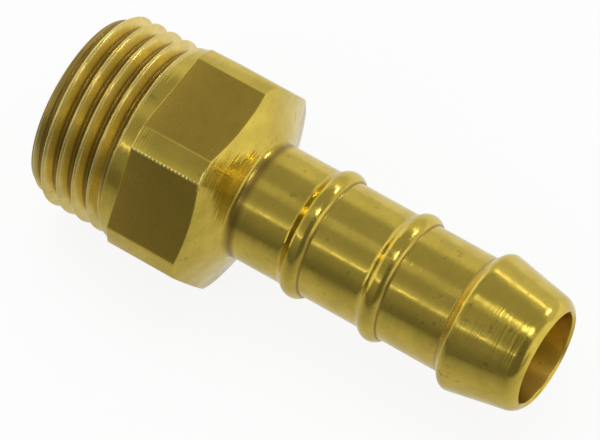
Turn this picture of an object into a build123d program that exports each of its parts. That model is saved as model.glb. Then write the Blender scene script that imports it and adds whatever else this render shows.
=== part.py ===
from build123d import *
from math import atan, cos, degrees, radians, sin, tan
import os

# A hose end fitting, turned from one bar of hexagonal brass: a male pipe thread, a hexagon for
# the spanner, a coned shoulder, and a hose tail with two round beads and a barb at its mouth.
# The bore runs straight through.
# The axis is X, and the hose slides on from +X. X = 0 is the hexagon's face on the thread side.
# The fitting lies on one flat of the hexagon, which faces straight down. Millimetres throughout.

# Lengths along the axis, in order from the threaded end
thread_reach = 10.8  # how far the threaded end stands out of the hexagon
hexagon_length = 8.0  # the corner strip, from the face to the start of the shoulder
neck_to_first_bead = 7.68
bead_pitch = 9.1
bead_count = 2
last_bead_to_barb = 9.0  # to where the barb's face would meet its cone in a sharp edge
barb_length = 7.9  # from that edge to the rim of the hose mouth

# The pipe thread, 1/2 inch parallel and right-handed, with 55 degrees between the flanks
thread_major_diameter = 20.955
thread_pitch = 1.814
thread_flank_angle = 27.5  # each flank against the plane across the axis
depth_to_pitch = 0.6403
crest_flat_to_pitch = 1 / 6
thread_phase = 0.7645  # station of a groove above the threaded end, right at the top
lead_in_length = 1.6
lead_in_below_root = 0.02  # how much deeper than the thread the end is chamfered

# The end of the thread, where the cutting tool leaves the metal
run_out_room = 1.05  # from the full groove's end to the collar
run_out_turn = 0.5  # the part of a turn that the tool takes to leave
tool_clearance = 0.24  # how far it ends up above the crests
lead_turns = 2  # how far ahead of the groove's first station the tool starts, in turns
tool_height = 0.2  # how far the groove's section is drawn past the crests

# The plain collar between the thread and the hexagon
collar_step = 0.17  # how far it stands above the crests
collar_length = 1.6
collar_edge = 0.15

# The hexagon and its shoulder
across_flats = 21.6
corner_trim = 1.34  # how much is turned off the width over the sharp corners
corner_edge = 0.15
shoulder_angle = 22.0  # the cone against the plane across the axis

# The hose tail
tail_diameter = 12.6
bead_height = 0.68
bead_crest_radius = 1.3
bead_lead_angle = 27.0  # against the axis, of the slope on the hexagon's side
bead_face_angle = 50.0  # of the steeper side towards the mouth
barb_height = 1.26  # from the tail to the same sharp edge
barb_face_run = 1.05  # how far the barb's face leans along the axis
barb_crest_radius = 0.85
barb_cone_angle = 10.8  # against the axis
nose_length = 1.35  # the blunt end of the barb, from its cone to the mouth
nose_bevel_length = 0.5  # the last and steeper part of the nose
nose_bevel_height = 0.7

# The bore
bore_diameter = 10.0
mouth_edge = 0.25

# Radii that follow from these
thread_depth = depth_to_pitch * thread_pitch
thread_radius = thread_major_diameter / 2
collar_radius = thread_radius + collar_step
corner_radius = (across_flats / cos(radians(30)) - corner_trim) / 2
tail_radius = tail_diameter / 2
barb_radius = tail_radius + barb_height
bore_radius = bore_diameter / 2
mouth_radius = bore_radius + mouth_edge

# Stations that follow from these
threaded_end = -thread_reach
shoulder_end = hexagon_length + (corner_radius - tail_radius) * tan(radians(shoulder_angle))
first_bead = shoulder_end + neck_to_first_bead
bead_stations = [first_bead + bead_pitch * i for i in range(bead_count)]
barb_station = bead_stations[-1] + last_bead_to_barb
hose_mouth = barb_station + barb_length
nose_start = hose_mouth - nose_length
nose_radius = barb_radius - (nose_start - barb_station) * tan(radians(barb_cone_angle))
run_out_start = thread_reach - collar_length - run_out_room


def bead_points(station):
    # Where a bead's lead slope leaves the tail, the start, top and end of its round crest, and
    # its foot. The crest's arc runs smoothly into the lead slope.
    lead_angle = radians(bead_lead_angle)
    half_crest = bead_crest_radius * sin(lead_angle)
    rise = bead_height - bead_crest_radius * (1 - cos(lead_angle))
    return [
        (station - half_crest - rise / tan(lead_angle), tail_radius),
        (station - half_crest, tail_radius + rise),
        (station, tail_radius + bead_height),
        (station + half_crest, tail_radius + rise),
        (station + half_crest + rise / tan(radians(bead_face_angle)), tail_radius),
    ]


def turned_outline():
    # Half of the section that the lathe leaves, above the axis and before the bore is drilled
    threaded_side = [
        (threaded_end, 0),
        (threaded_end, thread_radius - thread_depth - lead_in_below_root),
        (threaded_end + lead_in_length, thread_radius),
        (-collar_length, thread_radius),
        (-collar_length, collar_radius - collar_edge),
        (collar_edge - collar_length, collar_radius),
        (0, collar_radius),
        (0, corner_radius - corner_edge),
        (corner_edge, corner_radius),
        (hexagon_length, corner_radius),
        (shoulder_end, tail_radius),
    ]
    edges = Polyline(*threaded_side)
    tail = threaded_side[-1]
    for station in bead_stations:
        lead, crest_start, crest, crest_end, foot = bead_points(station)
        edges += Polyline(tail, lead, crest_start) + ThreePointArc(crest_start, crest, crest_end)
        edges += Line(crest_end, foot)
        tail = foot

    barb_edge = (barb_station, barb_radius)
    edges += Polyline(
        tail,
        (barb_station - barb_face_run, tail_radius),
        barb_edge,
        (nose_start, nose_radius),
        (hose_mouth - nose_bevel_length, mouth_radius + nose_bevel_height),
        (hose_mouth, mouth_radius),
        (hose_mouth, 0),
        threaded_side[0],
    )
    section = make_face(edges)
    return fillet(section.vertices().sort_by_distance(Vector(*barb_edge, 0))[0], barb_crest_radius)


def hexagon_bar():
    # The bar that the fitting is turned from, with two of its flats level
    across_the_axis = Plane(origin=(threaded_end, 0, 0), x_dir=(0, 1, 0), z_dir=(1, 0, 0))
    hexagon = across_the_axis * RegularPolygon(across_flats / 2, side_count=6, major_radius=False)
    return extrude(hexagon, thread_reach + hose_mouth)


def drilled_bore():
    # A straight drill through, with the sharp edge broken at both ends
    half_section = Polyline(
        (threaded_end, 0),
        (threaded_end, mouth_radius),
        (threaded_end + mouth_edge, bore_radius),
        (hose_mouth - mouth_edge, bore_radius),
        (hose_mouth, mouth_radius),
        (hose_mouth, 0),
        close=True,
    )
    return revolve(make_face(half_section), Axis.X)


def groove_section():
    # One thread groove, cut across by a plane through the axis. Local X is the distance from the
    # crest line, outwards from the axis, and local Y runs along the axis. A narrow flat at the
    # bottom stands for the rounded root.
    lean = tan(radians(thread_flank_angle))
    half_gap = thread_pitch * (1 - crest_flat_to_pitch) / 2
    half_top = half_gap + tool_height * lean
    half_root = half_gap - thread_depth * lean
    return make_face(
        Polyline(
            (tool_height, half_top),
            (-thread_depth, half_root),
            (-thread_depth, -half_root),
            (tool_height, -half_top),
            close=True,
        )
    )


def thread_cutter():
    # The groove starts in the air before the threaded end and runs at full depth until the tool
    # lifts, then leaves the metal over part of a turn. Both stretches are swept along Z, and then
    # turned on to the fitting's axis with their first angle at the top.
    groove = Plane(origin=(thread_radius, 0, 0), x_dir=(1, 0, 0), z_dir=(0, -1, 0)) * groove_section()
    lead = thread_phase - lead_turns * thread_pitch
    full_length = run_out_start - lead
    full_groove = sweep(groove, path=Helix(thread_pitch, full_length, thread_radius), is_frenet=True)

    lift_length = run_out_turn * thread_pitch
    lift_angle = degrees(atan((thread_depth + tool_clearance) / lift_length))
    lift = Helix(thread_pitch, lift_length, thread_radius, cone_angle=lift_angle)
    turned = 360 * full_length / thread_pitch
    run_out = Pos(0, 0, full_length) * Rot(0, 0, turned) * sweep(groove, path=lift, is_frenet=True)

    on_the_axis = Plane(origin=(threaded_end + lead, 0, 0), x_dir=(0, 0, 1), z_dir=(1, 0, 0))
    return [on_the_axis * full_groove, on_the_axis * run_out]


def hose_end_fitting():
    blank = revolve(turned_outline(), Axis.X) & hexagon_bar()
    return blank - drilled_bore() - thread_cutter()


os.makedirs("parts", exist_ok=True)
fitting = hose_end_fitting()
export_step(fitting, "parts/hose_end_fitting.step")
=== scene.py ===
import bpy
import bmesh
from math import acos, asin, atan2, cos, degrees, hypot, pi, radians, sin, sqrt, tan
from mathutils import Matrix, Vector


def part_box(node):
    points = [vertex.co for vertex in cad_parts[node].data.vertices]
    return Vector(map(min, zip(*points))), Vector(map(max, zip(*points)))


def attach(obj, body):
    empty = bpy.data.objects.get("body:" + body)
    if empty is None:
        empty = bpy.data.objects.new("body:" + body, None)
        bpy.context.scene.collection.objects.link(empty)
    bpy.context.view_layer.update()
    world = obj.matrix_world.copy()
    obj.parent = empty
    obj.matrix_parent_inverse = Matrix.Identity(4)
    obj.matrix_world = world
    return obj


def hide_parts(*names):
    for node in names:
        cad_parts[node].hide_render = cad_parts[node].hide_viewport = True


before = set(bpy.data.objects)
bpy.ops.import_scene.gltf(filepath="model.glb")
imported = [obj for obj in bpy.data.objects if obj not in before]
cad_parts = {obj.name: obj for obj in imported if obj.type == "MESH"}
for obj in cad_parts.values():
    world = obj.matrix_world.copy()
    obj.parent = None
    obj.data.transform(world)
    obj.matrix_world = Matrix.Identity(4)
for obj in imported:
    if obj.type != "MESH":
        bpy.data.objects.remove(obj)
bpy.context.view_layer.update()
lowCorner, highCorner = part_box("hose_end_fitting")
mm = 0.001
sameSpot = {"cut": 1e-8, "merge": 1e-7, "rim": 1e-6}  # metres; points nearer than this are one

# The fitting: one mesh, turned from a drawn outline, with its thread spun along a helix.
# Lengths are in millimetres and angles in degrees. Stations run along the axis from the
# hexagon's face on the thread side. A pair gives a rounding's radius and its segments.
fitting = {
    "steps": 264,                  # round the axis; the flats' side edges fall between two of them
    "threadEnd": lowCorner.x / mm,
    "hoseMouth": highCorner.x / mm,
    "collarLength": 1.6,
    "collarRadius": 10.65,
    "collarFoot": 0.02,            # how far outside the thread's crests the collar's step starts
    "collarEdge": (0.12, 3),
    "flatDistance": -lowCorner.z / mm,
    "cornerRadius": highCorner.y / mm,
    "hexagonLength": 8.0,
    "hexagonEdge": (0.14, 2),
    "hexagonAngle": 15,            # its edges bend more than this,
    "hexagonReach": (-0.01, 8.6),  # lie between these stations,
    "hexagonMargin": 0.05,         # and stay this far outside the collar
    "shoulderAngle": 22.0,
    "neckFillet": (0.8, 5),
    "tailRadius": 6.3,
    "beadStations": [17.9, 27.0],
    "beadHeight": 0.68,
    "beadLead": (1.1, 6),
    "beadCrest": (1.3, 16),
    "beadFoot": (0.12, 5),
    "barbStation": 36.0,
    "barbRadius": 7.56,
    "barbFaceRun": 1.05,
    "barbFoot": (0.4, 5),
    "barbCrest": (0.85, 9),
    "barbCone": 10.8,
    "noseLength": 1.35,
    "noseSteps": 10,
    "boreRadius": 5.0,
    "boreMargin": 0.02,            # faces this little outside the bore's radius belong to it
    "mouthEdge": 0.25,
    "mouthRounding": (0.1, 3),
    "creaseAngle": 24,             # edges that bend more than this look sharp
}

finishes = ["turned", "milled", "threaded", "drilled", "eased"]  # the piece's materials, in order

thread = {
    "majorRadius": 10.4775,
    "pitch": 1.814,
    "depth": 1.1616,
    "flankAngle": 27.5,
    "halfGap": 1.814 * 5 / 12,     # half of a groove's width; a crest has the rest of the pitch
    "crestRadius": 0.249,          # full round crests, as deep as the flanks allow
    "crestSteps": 3,
    "rootSteps": 8,
    "topPhase": 0.7645,            # station of a groove above the threaded end, right at the top
    "leadInLength": 1.6,
    "leadInRadius": 9.296,         # of the threaded end's outer edge
    "runOutStart": 8.15,           # from the threaded end, where the groove starts to rise
    "runOutTurn": 0.55,            # the part of a turn in which it is gone
    "spareTurns": 2,               # drawn past each end and trimmed off
}


def startLine(bm, x, r):
    return bm.verts.new((x * mm, r * mm, 0))


def lineTo(bm, tip, x, r):
    tip = bmesh.ops.extrude_vert_indiv(bm, verts=[tip])["verts"][0]
    tip.co = (x * mm, r * mm, 0)
    return tip


def arcTo(bm, tip, centreX, centreR, turn, steps):
    # Carries the line's tip round a centre, in degrees, anticlockwise if positive
    made = bmesh.ops.spin(bm, geom=[tip], cent=(centreX * mm, centreR * mm, 0), axis=(0, 0, 1),
                          dvec=(0, 0, 0), angle=radians(turn), steps=steps,
                          use_merge=False, use_duplicate=False)
    return [item for item in made["geom_last"] if isinstance(item, bmesh.types.BMVert)][0]


def roundCorner(bm, corner, radius, segments):
    ends = [edge.other_vert(corner).co - corner.co for edge in corner.link_edges]
    half = ends[0].angle(ends[1]) / 2
    bmesh.ops.bevel(bm, geom=[corner], offset=radius * mm / tan(half), offset_type="OFFSET",
                    segments=segments, profile=0.5, affect="VERTICES", material=-1)


def bead(bm, tip, station):
    # A low fillet on the hexagon's side, a round crest, and a crisp foot towards the mouth
    tail = fitting["tailRadius"]
    lead, leadSteps = fitting["beadLead"]
    crest, crestSteps = fitting["beadCrest"]
    foot, footSteps = fitting["beadFoot"]
    centre = tail + fitting["beadHeight"] - crest
    turns, reaches = [], []
    for fillet in (lead, foot):
        drop = tail + fillet - centre
        turns.append(degrees(acos(drop / (crest + fillet))))
        reaches.append(sqrt((crest + fillet) ** 2 - drop ** 2))
    tip = lineTo(bm, tip, station - reaches[0], tail)
    tip = arcTo(bm, tip, station - reaches[0], tail + lead, turns[0], leadSteps)
    tip = arcTo(bm, tip, station, centre, -turns[0] - turns[1], crestSteps)
    return arcTo(bm, tip, station + reaches[1], tail + foot, turns[1], footSteps)


def nose(bm, tip):
    # The barb's cone, then one arc that leaves the cone smoothly and ends on the mouth's rim
    lean = radians(fitting["barbCone"])
    start = Vector((fitting["hoseMouth"] - fitting["noseLength"], 0))
    start.y = fitting["barbRadius"] - (start.x - fitting["barbStation"]) * tan(lean)
    rim = Vector((fitting["hoseMouth"], fitting["boreRadius"] + fitting["mouthEdge"]))
    across = Vector((-sin(lean), -cos(lean)))
    chord = rim - start
    radius = chord.length_squared / (2 * chord.dot(across))
    turn = 2 * degrees(asin(chord.length / 2 / radius))
    centre = start + radius * across
    tip = lineTo(bm, tip, start.x, start.y)
    return arcTo(bm, tip, centre.x, centre.y, -turn, fitting["noseSteps"])


def turnedOutline(bm):
    # From the collar's step along the outside to the hose mouth, then back through the bore
    collarStart, collar = -fitting["collarLength"], fitting["collarRadius"]
    corner, tail, bore = fitting["cornerRadius"], fitting["tailRadius"], fitting["boreRadius"]
    shoulder = (corner - tail) * tan(radians(fitting["shoulderAngle"]))
    rounded = []
    tip = startLine(bm, collarStart, thread["majorRadius"] + fitting["collarFoot"])
    tip = lineTo(bm, tip, collarStart, collar)
    rounded.append((tip, *fitting["collarEdge"]))
    tip = lineTo(bm, tip, 0, collar)
    tip = lineTo(bm, tip, 0, corner)
    tip = lineTo(bm, tip, fitting["hexagonLength"], corner)
    tip = lineTo(bm, tip, fitting["hexagonLength"] + shoulder, tail)
    rounded.append((tip, *fitting["neckFillet"]))
    for station in fitting["beadStations"]:
        tip = bead(bm, tip, station)
    tip = lineTo(bm, tip, fitting["barbStation"] - fitting["barbFaceRun"], tail)
    rounded.append((tip, *fitting["barbFoot"]))
    tip = lineTo(bm, tip, fitting["barbStation"], fitting["barbRadius"])
    rounded.append((tip, *fitting["barbCrest"]))
    tip = nose(bm, tip)
    tip = lineTo(bm, tip, fitting["hoseMouth"] - fitting["mouthEdge"], bore)
    rounded.append((tip, *fitting["mouthRounding"]))
    tip = lineTo(bm, tip, fitting["threadEnd"] + fitting["mouthEdge"], bore)
    lineTo(bm, tip, fitting["threadEnd"], bore + fitting["mouthEdge"])
    for vert, radius, segments in rounded:
        roundCorner(bm, vert, radius, segments)


def cutAway(bm, point, facing):
    # Takes off what lies beyond a plane, and gives the edges that the cut leaves
    cut = bmesh.ops.bisect_plane(bm, geom=bm.verts[:] + bm.edges[:] + bm.faces[:], plane_co=point,
                                 plane_no=facing, dist=sameSpot["cut"], clear_outer=True)
    return [item for item in cut["geom_cut"] if isinstance(item, bmesh.types.BMEdge)]


def onHexagon(vert):
    first, last = fitting["hexagonReach"]
    least = fitting["collarRadius"] + fitting["hexagonMargin"]
    outside = hypot(vert.co.y, vert.co.z) > least * mm
    return outside and first * mm < vert.co.x < last * mm


def cutHexagon(bm):
    # Six plane cuts through the turned blank, each closed by one face, and their edges eased
    flats = []
    for i in range(6):
        angle = radians(30 + 60 * i)
        facing = Vector((0, cos(angle), sin(angle)))
        rim = cutAway(bm, facing * fitting["flatDistance"] * mm, facing)
        flats += bmesh.ops.edgeloop_fill(bm, edges=rim)["faces"]
    bmesh.ops.recalc_face_normals(bm, faces=bm.faces)
    for face in flats:
        face.material_index = finishes.index("milled")
    least = radians(fitting["hexagonAngle"])
    sharp = [edge for edge in bm.edges if all(onHexagon(vert) for vert in edge.verts)
             and len(edge.link_faces) == 2 and edge.calc_face_angle() > least]
    size, segments = fitting["hexagonEdge"]
    bmesh.ops.bevel(bm, geom=sharp, offset=size * mm, offset_type="OFFSET", segments=segments,
                    profile=0.5, affect="EDGES", material=finishes.index("eased"),
                    clamp_overlap=True)


def threadOutline(bm):
    # Crests and rounded grooves one after another, at the angle where the spin starts
    major, pitch, crest = thread["majorRadius"], thread["pitch"], thread["crestRadius"]
    lean = radians(thread["flankAngle"])
    halfGap = thread["halfGap"]
    rootRadius = (halfGap / tan(lean) - thread["depth"]) / (1 / sin(lean) - 1)
    rootCentre = major - thread["depth"] + rootRadius
    easing = crest * tan((pi / 2 - lean) / 2)
    crestCentre = major - crest
    rounding = 90 - thread["flankAngle"]
    # A quarter turn from the top back to +Y takes a quarter of the pitch off the station
    firstGroove = fitting["threadEnd"] + thread["topPhase"] - pitch * (0.25 + thread["spareTurns"])
    grooves = int(-fitting["threadEnd"] / pitch) + 2 * thread["spareTurns"]
    tip = startLine(bm, firstGroove - pitch / 2, major)
    for i in range(grooves):
        middle = firstGroove + pitch * i
        before, after = middle - halfGap - easing, middle + halfGap + easing
        tip = lineTo(bm, tip, before, major)
        tip = arcTo(bm, tip, before, crestCentre, -rounding, thread["crestSteps"])
        tip = lineTo(bm, tip, middle - rootRadius * cos(lean), rootCentre - rootRadius * sin(lean))
        tip = arcTo(bm, tip, middle, rootCentre, 2 * rounding, thread["rootSteps"])
        tip = lineTo(bm, tip, after - crest * cos(lean), crestCentre + crest * sin(lean))
        tip = arcTo(bm, tip, after, crestCentre, -rounding, thread["crestSteps"])
        tip = lineTo(bm, tip, middle + pitch / 2, major)


def shapeThreadEnds(bm):
    # The groove rises out of the metal near the collar, and a cone takes the first crests off
    slope = (thread["majorRadius"] - thread["leadInRadius"]) / thread["leadInLength"]
    for vert in bm.verts:
        radius = hypot(vert.co.y, vert.co.z) / mm
        fromEnd = vert.co.x / mm - fitting["threadEnd"]
        turned = (atan2(vert.co.z, vert.co.y) - pi / 2) / (2 * pi)
        groove = round((fromEnd - thread["topPhase"]) / thread["pitch"] - turned)
        station = thread["topPhase"] + (groove + turned) * thread["pitch"]
        rise = (station - thread["runOutStart"]) / thread["pitch"] / thread["runOutTurn"]
        wanted = radius
        if rise > 0:
            wanted = min(thread["majorRadius"], radius + rise * thread["depth"])
        wanted = min(wanted, thread["leadInRadius"] + fromEnd * slope)
        vert.co.y *= wanted / radius
        vert.co.z *= wanted / radius


def turnBlank():
    bm = bmesh.new()
    turnedOutline(bm)
    bmesh.ops.spin(bm, geom=bm.verts[:] + bm.edges[:], cent=(0, 0, 0), axis=(1, 0, 0),
                   dvec=(0, 0, 0), angle=2 * pi, steps=fitting["steps"],
                   use_merge=True, use_duplicate=False)
    cutHexagon(bm)
    print("blank turned and hexagon cut:", len(bm.faces), "faces")
    return bm


def cutThread():
    bm = bmesh.new()
    threadOutline(bm)
    bmesh.ops.spin(bm, geom=bm.verts[:] + bm.edges[:], cent=(0, 0, 0), axis=(1, 0, 0),
                   dvec=(thread["pitch"] * mm / fitting["steps"], 0, 0), angle=2 * pi,
                   steps=fitting["steps"], use_merge=False, use_duplicate=False)
    bmesh.ops.remove_doubles(bm, verts=bm.verts, dist=sameSpot["merge"])
    shapeThreadEnds(bm)
    cutAway(bm, (fitting["threadEnd"] * mm, 0, 0), (-1, 0, 0))
    cutAway(bm, (-fitting["collarLength"] * mm, 0, 0), (1, 0, 0))
    for face in bm.faces:
        face.material_index = finishes.index("threaded")
    print("thread spun along its helix:", len(bm.faces), "faces")
    return bm


def buildFitting():
    body = turnBlank()
    screw = cutThread()
    carried = bpy.data.meshes.new("thread_part")
    screw.to_mesh(carried)
    screw.free()
    body.from_mesh(carried)
    bpy.data.meshes.remove(carried)

    # The flat rings at the threaded end and at the collar's step close the two into one skin
    for station in (fitting["threadEnd"], -fitting["collarLength"]):
        rims = [edge for edge in body.edges if edge.is_boundary and
                all(abs(vert.co.x - station * mm) < sameSpot["rim"] for vert in edge.verts)]
        bmesh.ops.triangle_fill(body, edges=rims, normal=(-1, 0, 0), use_beauty=True,
                                use_dissolve=False)
    bmesh.ops.recalc_face_normals(body, faces=body.faces)
    for face in body.faces:
        middle = face.calc_center_median() / mm
        face.smooth = face.material_index != finishes.index("milled")
        inBore = hypot(middle.y, middle.z) < fitting["boreRadius"] + fitting["boreMargin"]
        if face.smooth and inBore:
            face.material_index = finishes.index("drilled")
    mesh = bpy.data.meshes.new("fitting_body")
    body.to_mesh(mesh)
    openEdges = sum(edge.is_boundary for edge in body.edges)
    bentEdges = sum(not edge.is_manifold for edge in body.edges)
    print("open edges:", openEdges, "bent edges:", bentEdges, "faces:", len(body.faces))
    body.free()
    mesh.set_sharp_from_angle(angle=radians(fitting["creaseAngle"]))
    piece = bpy.data.objects.new("fitting_body", mesh)
    bpy.context.collection.objects.link(piece)
    return piece


# The brass: one metal with five finishes, which share the tones and marks made in a node group.
# Sizes, pitches, depths and stations are in millimetres.
brass = {
    # Each finish: its colour, its roughness and how much that varies, how far its highlights
    # stretch, the depth of its tool marks, and the strength of its stains
    "turned": {"colour": (0.70, 0.525, 0.085), "roughness": 0.18, "variation": 0.14,
               "stretch": 0.4, "depth": 0.012, "stains": 0.5},
    "milled": {"colour": (0.56, 0.385, 0.062), "roughness": 0.28, "variation": 0.08,
               "stretch": 0.0, "depth": 0.003, "stains": 0.4},
    "threaded": {"colour": (0.84, 0.66, 0.19), "roughness": 0.29, "variation": 0.10,
                 "stretch": 0.2, "depth": 0.0015, "stains": 0.3},
    "drilled": {"colour": (0.72, 0.52, 0.10), "roughness": 0.33, "variation": 0.10,
                "stretch": 0.3, "depth": 0.006, "stains": 0.5},
    "eased": {"colour": (0.70, 0.525, 0.085), "roughness": 0.16, "variation": 0.06,
              "stretch": 0.0, "depth": 0.1, "stains": 0.0},
    "stretchTurn": 0.25,           # turns the stretched highlights to lie along the axis
    "mottle": {"size": 2.2, "detail": 4, "roughness": 0.6, "from": (0.3, 0.7)},
    "mottleTones": (0.9, 1.07),    # of the finish's colour
    "stain": {"size": 1.1, "detail": 3, "roughness": 0.55, "from": (0.6, 0.74)},
    # The stains' colour, also used for the painted shade
    "stainAndShadeColour": (0.36, 0.24, 0.05),
    "stainRoughness": 0.15,        # more than the finish's own
    "fineMarks": {"size": 6, "detail": 1, "roughness": 0.5, "pitch": 0.13},
    "coarseMarks": {"size": 9, "detail": 2, "roughness": 0.6, "pitch": 0.5},
    # The dents along one edge of the hexagon, and a pale colour there that is a painted highlight.
    # The direction points from the axis to that edge, and the reach is how far out they start and
    # where they have their full, unequal height.
    "chatter": {"pitch": 0.44, "direction": (-0.643, 0.766), "reach": (11.45, 11.6),
                "from": (0.35, 0.65), "height": (0.25, 0.5), "colour": (0.98, 0.80, 0.24)},
    # Stations where a dark line of painted shade goes into the colour, with how far it spreads
    # each way: the corners at the beads' and the barb's feet, and a wide band at the neck
    "paintedShadeLines": {10.85: 0.8, 19.0: 0.16, 28.1: 0.16, 34.95: 0.16},
    # Painted shade darkens the thread's grooves from the bottom up
    "grooveShade": 0.42,            # how far it reaches up from the bottom of the thread's grooves
}


def link(tree, start, end):
    tree.links.new(start, end)


def addMath(tree, operation, first, second=None, clamp=False):
    node = tree.nodes.new("ShaderNodeMath")
    node.operation = operation
    node.use_clamp = clamp
    for socket, value in zip(node.inputs, (first, second)):
        if isinstance(value, (int, float)):
            socket.default_value = value
        elif value is not None:
            link(tree, value, socket)
    return node.outputs[0]


def addRange(tree, value, low, high, newLow=0.0, newHigh=1.0):
    node = tree.nodes.new("ShaderNodeMapRange")
    node.interpolation_type = "SMOOTHSTEP"
    numbers = {"From Min": low, "From Max": high, "To Min": newLow, "To Max": newHigh}
    for name, number in numbers.items():
        node.inputs[name].default_value = number
    link(tree, value, node.inputs["Value"])
    return node.outputs["Result"]


def addNoise(tree, dimensions, kind, place):
    node = tree.nodes.new("ShaderNodeTexNoise")
    node.noise_dimensions = dimensions
    node.inputs["Scale"].default_value = 1 / (kind["size"] * mm)
    node.inputs["Detail"].default_value = kind["detail"]
    node.inputs["Roughness"].default_value = kind["roughness"]
    link(tree, place, node.inputs["Vector"])
    return node


def addMix(tree, share, first, second):
    # Each of the two is a colour or the output of a node
    node = tree.nodes.new("ShaderNodeMix")
    node.data_type = "RGBA"
    link(tree, share, node.inputs["Factor"])
    for name, value in (("A", first), ("B", second)):
        if isinstance(value, tuple):
            node.inputs[name].default_value = (*value, 1)
        else:
            link(tree, value, node.inputs[name])
    return node.outputs["Result"]


def addParts(tree, place):
    node = tree.nodes.new("ShaderNodeSeparateXYZ")
    link(tree, place, node.inputs[0])
    return node.outputs


def addPlace(tree):
    return tree.nodes.new("ShaderNodeTexCoord").outputs["Object"]


def addRadius(tree, parts):
    # The distance from the axis
    squares = [addMath(tree, "POWER", parts[name], 2) for name in ("Y", "Z")]
    return addMath(tree, "SQRT", addMath(tree, "ADD", *squares))


def addMarks(tree, kind, place, along):
    # Lines across the way that along measures, which change slowly from one side to the other
    noise = addNoise(tree, "4D", kind, place)
    link(tree, addMath(tree, "MULTIPLY", along, kind["size"] / kind["pitch"]), noise.inputs["W"])
    return noise.outputs["Fac"]


def makeToneGroup():
    # Puts out masks for the soft patches, stains, lines of painted shade and a painted highlight
    # along one edge, and two heights
    group = bpy.data.node_groups.new("brass_tone", "ShaderNodeTree")
    group.interface.new_socket("Position", in_out="INPUT", socket_type="NodeSocketVector")
    group.interface.new_socket("Stains", in_out="INPUT", socket_type="NodeSocketFloat")
    for name in ("Patches", "Dull", "CornerShade", "Marks", "Chatter", "PaintedEdgeHighlight"):
        group.interface.new_socket(name, in_out="OUTPUT", socket_type="NodeSocketFloat")
    start = group.nodes.new("NodeGroupInput")
    end = group.nodes.new("NodeGroupOutput")
    position = start.outputs["Position"]
    parts = addParts(group, position)

    mottle, stain = brass["mottle"], brass["stain"]
    patches = addNoise(group, "3D", mottle, position).outputs["Fac"]
    link(group, addRange(group, patches, *mottle["from"]), end.inputs["Patches"])
    spots = addNoise(group, "3D", stain, position).outputs["Fac"]
    dull = addRange(group, spots, *stain["from"])
    link(group, addMath(group, "MULTIPLY", dull, start.outputs["Stains"]), end.inputs["Dull"])

    # The cutter chattered along one of the hexagon's edges, and the same band gets a painted
    # highlight
    chatter = brass["chatter"]
    angle = addMath(group, "MULTIPLY", parts["X"], 2 * pi / chatter["pitch"] / mm)
    uneven = addRange(group, spots, *chatter["from"], *chatter["height"])
    wave = addMath(group, "MULTIPLY", addMath(group, "SINE", angle), uneven)
    sides = [addMath(group, "MULTIPLY", parts[name], part)
             for name, part in zip(("Y", "Z"), chatter["direction"])]
    outwards = addMath(group, "ADD", *sides)
    nearEdge = addRange(group, outwards, *[reach * mm for reach in chatter["reach"]])
    link(group, nearEdge, end.inputs["PaintedEdgeHighlight"])
    link(group, addMath(group, "MULTIPLY", wave, nearEdge), end.inputs["Chatter"])

    # Painted shade: dark lines go into the colour at the corners of the profile, where shade
    # falls, and a wide dark band at the neck
    cornerShade = 0
    for station, spread in brass["paintedShadeLines"].items():
        reach = addMath(group, "SUBTRACT", parts["X"], station * mm)
        reach = addMath(group, "ABSOLUTE", reach)
        line = addRange(group, reach, 0, spread * mm, 1, 0)
        cornerShade = addMath(group, "ADD", line, cornerShade)
    link(group, cornerShade, end.inputs["CornerShade"])

    # The marks follow the axis on turned walls and the radius on faces across it
    fine, coarse = brass["fineMarks"], brass["coarseMarks"]
    along = addMath(group, "ADD", parts["X"], addRadius(group, parts))
    flattened = group.nodes.new("ShaderNodeVectorMath")
    flattened.operation = "MULTIPLY"
    flattened.inputs[1].default_value = (0, 1, 1)
    link(group, position, flattened.inputs[0])
    shallow = addMarks(group, fine, flattened.outputs[0], along)
    deep = addMarks(group, coarse, flattened.outputs[0], along)
    deep = addMath(group, "MULTIPLY", deep, coarse["pitch"] / fine["pitch"])
    link(group, addMath(group, "ADD", shallow, deep), end.inputs["Marks"])
    return group


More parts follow.
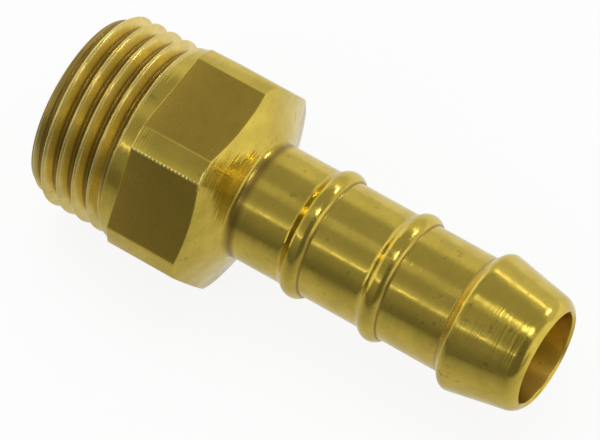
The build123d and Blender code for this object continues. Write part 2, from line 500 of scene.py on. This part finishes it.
def makeBrass(finish, tone):
    look = brass[finish]
    material = bpy.data.materials.new("brass_" + finish)
    material.use_nodes = True
    tree = material.node_tree
    shader = tree.nodes["Principled BSDF"]
    shader.inputs["Metallic"].default_value = 1
    place = addPlace(tree)
    effect = tree.nodes.new("ShaderNodeGroup")
    effect.node_tree = tone
    link(tree, place, effect.inputs["Position"])
    effect.inputs["Stains"].default_value = look["stains"]

    dull = effect.outputs["Dull"]
    # On turned brass, the lines of painted shade join the stains
    if finish == "turned":
        dull = addMath(tree, "MAXIMUM", dull, effect.outputs["CornerShade"])
    if finish == "threaded":
        # Painted shade: the colour darkens towards the bottoms of the grooves
        bottom = (thread["majorRadius"] - thread["depth"]) * mm
        radius = addRadius(tree, addParts(tree, place))
        rootShade = addRange(tree, radius, bottom, bottom + brass["grooveShade"] * mm, 1, 0)
        dull = addMath(tree, "MAXIMUM", dull, rootShade)
    tones = [tuple(level * part for part in look["colour"]) for level in brass["mottleTones"]]
    colour = addMix(tree, effect.outputs["Patches"], *tones)
    # Stains darken the colour, and on turned and threaded brass so does painted shade
    colour = addMix(tree, dull, colour, brass["stainAndShadeColour"])
    # Painted highlight: a pale colour along one of the hexagon's eased edges
    if finish == "eased":
        colour = addMix(tree, effect.outputs["PaintedEdgeHighlight"], colour, brass["chatter"]["colour"])
    link(tree, colour, shader.inputs["Base Color"])

    rough = addMath(tree, "MULTIPLY", effect.outputs["Patches"], -look["variation"])
    rough = addMath(tree, "ADD", rough, look["roughness"] + look["variation"] / 2)
    more = addMath(tree, "MULTIPLY", dull, brass["stainRoughness"])
    link(tree, addMath(tree, "ADD", rough, more, clamp=True), shader.inputs["Roughness"])
    if look["stretch"]:
        shader.inputs["Anisotropic"].default_value = look["stretch"]
        shader.inputs["Anisotropic Rotation"].default_value = brass["stretchTurn"]
        around = tree.nodes.new("ShaderNodeTangent")
        around.direction_type = "RADIAL"
        around.axis = "X"
        link(tree, around.outputs[0], shader.inputs["Tangent"])
    height = "Chatter" if finish == "eased" else "Marks"
    bump = tree.nodes.new("ShaderNodeBump")
    bump.inputs["Distance"].default_value = look["depth"] * mm
    link(tree, effect.outputs[height], bump.inputs["Height"])
    link(tree, bump.outputs["Normal"], shader.inputs["Normal"])
    return material


# The studio: a pale floor, a white world, soft lamps, and long cards that only reflections see.
# Lengths are in metres.
studio = {
    "floorSize": 3.0,
    "floorColour": (0.9, 0.9, 0.9),
    "floorGlow": 0.88,             # how much of the floor's white doesn't depend on the lamps
    # What reflections see of the floor: palest behind, and halved this far in front
    "floorNear": 0.74,
    "floorBehind": 0.84,
    "floorStep": 0.01,             # how far behind the axis it reaches its palest
    "floorHalving": 0.05,
    "floorMouth": (0.05, 0.09, 0.12),  # beyond the mouth, where it grows paler, and by how much
    "worldLevel": 0.72,            # what the world gives to plain surfaces
    "cardDistance": 0.26,
    "cardSpacing": 0.001,          # each card hangs this much nearer than the one before it
    "cardSteps": 8,
    # Each card: its ends along the axis, its first and last angle round the axis, from level at
    # the back over the top, and its greys there. Where two overlap, the later one hides the other.
    "cards": {
        "pale_wall": (-0.2, 0.4, 0, 34, 0.66, 0.70),
        "wall_top": (-0.2, 0.4, 34, 48, 0.66, 0.38),
        "grey_ceiling": (-0.28, 0.4, 48, 80, 0.38, 0.36),
        "soft_box_edge": (-0.28, 0.4, 80, 89, 0.36, 0.52),
        "soft_box": (-0.28, 0.4, 89, 98, 0.52, 0.52),
        "soft_box_side": (-0.28, 0.4, 98, 106, 0.52, 0.34),
        "ceiling_front": (-0.28, 0.4, 106, 126, 0.34, 0.36),
        "tube_shade": (-0.28, 0.4, 126, 137, 0.40, 0.58),
        "tube": (-0.28, 0.1, 137.5, 140.5, 1.7, 1.7),
        "tube_under": (-0.28, 0.4, 140, 148, 0.36, 0.29),
        "dark_room": (-0.28, 0.4, 148, 181, 0.29, 0.17),
        "lamp_behind": (0.005, 0.15, 31, 37, 1.7, 1.7),
        "lamp_above": (0.005, 0.15, 86, 92, 1.15, 1.15),
        "camera_side": (0.085, 0.4, 98, 181, 0.15, 0.15),
        "mouth_side": (0.4, 4.0, 98, 181, 0.95, 0.3),
        "lamp_behind_core": (0.11, 0.15, 30, 39, 16, 16),
        "lamp_above_core": (0.11, 0.15, 84, 93, 16, 16),
    },
    # Each lamp: the direction it hangs in, its distance, its width and height, and its watts
    "lamps": {
        "soft_lamp_above": ((-0.2, 0.15, 1), 0.6, (0.5, 0.5), 0.9),
        "soft_lamp_front": ((-0.4, -0.9, 0.7), 0.6, (0.4, 0.2), 0.35),
    },
}


def seenDirectly(tree, names):
    # 1 for the rays of these kinds, 0 for the rest
    path = tree.nodes.new("ShaderNodeLightPath")
    seen = path.outputs[names[0]]
    for name in names[1:]:
        seen = addMath(tree, "MAXIMUM", seen, path.outputs[name])
    return seen


def addStage(name, bm):
    mesh = bpy.data.meshes.new(name)
    bm.to_mesh(mesh)
    bm.free()
    item = bpy.data.objects.new(name, mesh)
    bpy.context.collection.objects.link(item)
    material = bpy.data.materials.new(name)
    material.use_nodes = True
    material.node_tree.nodes.clear()
    item.data.materials.append(material)
    return item, material.node_tree


def makeFloor():
    bm = bmesh.new()
    bmesh.ops.create_grid(bm, x_segments=1, y_segments=1, size=studio["floorSize"] / 2)
    bmesh.ops.translate(bm, verts=bm.verts, vec=(0, 0, lowCorner.z))
    tree = addStage("floor", bm)[1]
    parts = addParts(tree, addPlace(tree))

    # Its strength is 1, but reflections see greys that change from place to place
    mirrored = seenDirectly(tree, ["Is Glossy Ray"])
    inFront = addMath(tree, "DIVIDE", parts["Y"], -studio["floorHalving"])
    fading = addMath(tree, "ADD", addMath(tree, "MAXIMUM", inFront, 0), 1)
    behind = addRange(tree, parts["Y"], 0, studio["floorStep"], studio["floorNear"],
                      studio["floorBehind"])
    start, end, more = studio["floorMouth"]
    mouth = addRange(tree, parts["X"], start, end, 0, more)
    grey = addMath(tree, "ADD", addMath(tree, "DIVIDE", behind, fading), mouth)
    white = addMath(tree, "SUBTRACT", 1, mirrored)
    level = addMath(tree, "ADD", white, addMath(tree, "MULTIPLY", grey, mirrored))

    # The camera sees part of the plain surface too, for the object's shadow
    seen = seenDirectly(tree, ["Is Camera Ray", "Is Transmission Ray"])
    share = addMath(tree, "MULTIPLY", seen, studio["floorGlow"])
    plain = tree.nodes.new("ShaderNodeBsdfDiffuse")
    plain.inputs["Color"].default_value = (*studio["floorColour"], 1)
    glow = tree.nodes.new("ShaderNodeEmission")
    mix = tree.nodes.new("ShaderNodeMixShader")
    output = tree.nodes.new("ShaderNodeOutputMaterial")
    link(tree, level, glow.inputs["Strength"])
    link(tree, addMath(tree, "MAXIMUM", share, mirrored), mix.inputs["Fac"])
    link(tree, plain.outputs[0], mix.inputs[1])
    link(tree, glow.outputs[0], mix.inputs[2])
    link(tree, mix.outputs[0], output.inputs["Surface"])


def makeCard(name, start, end, first, last, firstGrey, lastGrey, inFront):
    # A strip of a tube round the part's axis, seen by reflections alone
    bm = bmesh.new()
    corner = bm.verts.new((start, studio["cardDistance"] - inFront, 0))
    bmesh.ops.extrude_vert_indiv(bm, verts=[corner])["verts"][0].co.x = end
    bmesh.ops.rotate(bm, verts=bm.verts, cent=(0, 0, 0),
                     matrix=Matrix.Rotation(radians(first), 3, "X"))
    bmesh.ops.spin(bm, geom=bm.verts[:] + bm.edges[:], cent=(0, 0, 0), axis=(1, 0, 0),
                   dvec=(0, 0, 0), angle=radians(last - first), steps=studio["cardSteps"],
                   use_merge=False, use_duplicate=False)
    card, tree = addStage(name, bm)
    card.visible_camera = card.visible_diffuse = card.visible_shadow = False
    card.visible_transmission = card.visible_volume_scatter = False
    parts = addParts(tree, addPlace(tree))
    angle = addMath(tree, "ARCTAN2", parts["Z"], parts["Y"])
    grey = addRange(tree, angle, radians(first), radians(last), firstGrey, lastGrey)
    glow = tree.nodes.new("ShaderNodeEmission")
    output = tree.nodes.new("ShaderNodeOutputMaterial")
    link(tree, grey, glow.inputs["Strength"])
    link(tree, glow.outputs[0], output.inputs["Surface"])


def makeWorld():
    world = bpy.data.worlds.new("white_world")
    bpy.context.scene.world = world
    world.use_nodes = True
    tree = world.node_tree
    background = tree.nodes["Background"]
    background.inputs["Color"].default_value = (1, 1, 1, 1)
    seen = seenDirectly(tree, ["Is Camera Ray", "Is Glossy Ray", "Is Transmission Ray"])
    level = addMath(tree, "MULTIPLY", seen, 1 - studio["worldLevel"])
    level = addMath(tree, "ADD", level, studio["worldLevel"])
    link(tree, level, background.inputs["Strength"])


def makeLamp(name, direction, distance, size, watts):
    data = bpy.data.lights.new(name, "AREA")
    data.shape = "RECTANGLE"
    data.size, data.size_y = size
    data.energy = watts
    lamp = bpy.data.objects.new(name, data)
    bpy.context.collection.objects.link(lamp)
    away = Vector(direction).normalized()
    lamp.location = away * distance
    lamp.rotation_euler = away.to_track_quat("Z", "X").to_euler()
    lamp.visible_glossy = False    # the cards stand for the lamps in reflections


# The camera, fitted to the photo: the outline, the beads' and the barb's circles and the thread.
# The point it aims at, and how far it is from there, are in millimetres.
view = {
    "aim": (15.01, 0.142, 0.076),
    "azimuth": 34.28,
    "elevation": 57.13,
    "roll": -0.73,
    "distance": 483.0,
    "lens": 293.46,
    "sensor": 36.0,
    "clip": (0.01, 20),            # metres
}


def makeCamera():
    data = bpy.data.cameras.new("camera")
    data.sensor_width = view["sensor"]
    data.lens = view["lens"]
    data.clip_start, data.clip_end = view["clip"]
    camera = bpy.data.objects.new("camera", data)
    bpy.context.collection.objects.link(camera)
    bpy.context.scene.camera = camera
    turn = Matrix.Rotation(radians(view["azimuth"]), 4, "Z")
    turn = turn @ Matrix.Rotation(radians(90 - view["elevation"]), 4, "X")
    turn = turn @ Matrix.Rotation(radians(view["roll"]), 4, "Z")
    away = turn @ Vector((0, 0, view["distance"] * mm))
    camera.matrix_world = Matrix.Translation(Vector(view["aim"]) * mm + away) @ turn


piece = buildFitting()
tone = makeToneGroup()
for finish in finishes:
    piece.data.materials.append(makeBrass(finish, tone))
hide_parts("hose_end_fitting")
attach(piece, "root")
print("fitting in place, with", len(finishes), "finishes of brass")

makeFloor()
for i, (name, card) in enumerate(studio["cards"].items()):
    makeCard(name, *card, i * studio["cardSpacing"])
makeWorld()
for name, lamp in studio["lamps"].items():
    makeLamp(name, *lamp)
makeCamera()
print("studio and camera set")

scene = bpy.context.scene
scene.view_settings.view_transform = "Standard"
